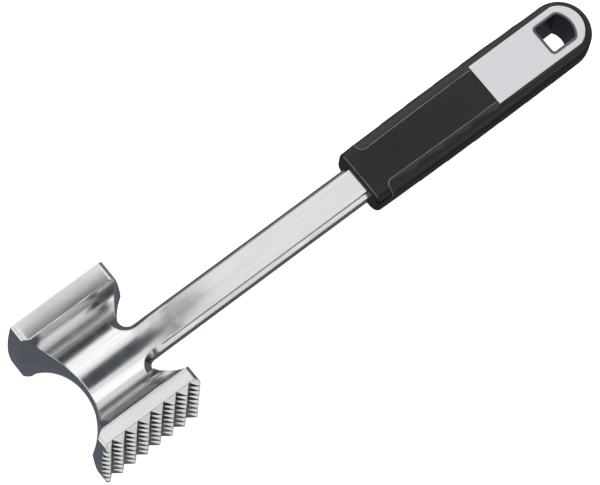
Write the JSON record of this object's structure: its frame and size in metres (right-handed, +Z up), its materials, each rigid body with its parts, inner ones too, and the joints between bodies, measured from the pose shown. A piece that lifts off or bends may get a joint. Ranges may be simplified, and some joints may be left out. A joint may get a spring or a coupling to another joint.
{
  "type": "meat mallet",
  "caption": "Meat mallet: cast aluminium head with a flat face and a toothed face, straight shank, black moulded handle with a grey inlay and a hanging eye.",
  "frame": {"origin": "the centre of the bottom of the mallet's box, lying on its back rims", "axes": "+X runs along the shank from the head to the handle's tip, +Y is the way the flat striking face looks (the teeth look along -Y), +Z is up, out of the side with the inlay"},
  "size_m": [0.3012, 0.0698, 0.0552],
  "materials": {
    "cast_metal": "polished to a fine satin",
    "hard_plastic": "fine matte moulding",
    "soft_grip": "satin soft-touch moulding",
    "inlay": "metallic grey satin plastic",
    "liner": "smooth black moulding"
  },
  "bodies": {
    "root": {"head_and_shank": "cast_metal", "handle_core": "hard_plastic", "soft_grip_band": "soft_grip", "inlay_plate": "inlay", "eyelet_liner": "liner"}
  },
  "joints": []
}
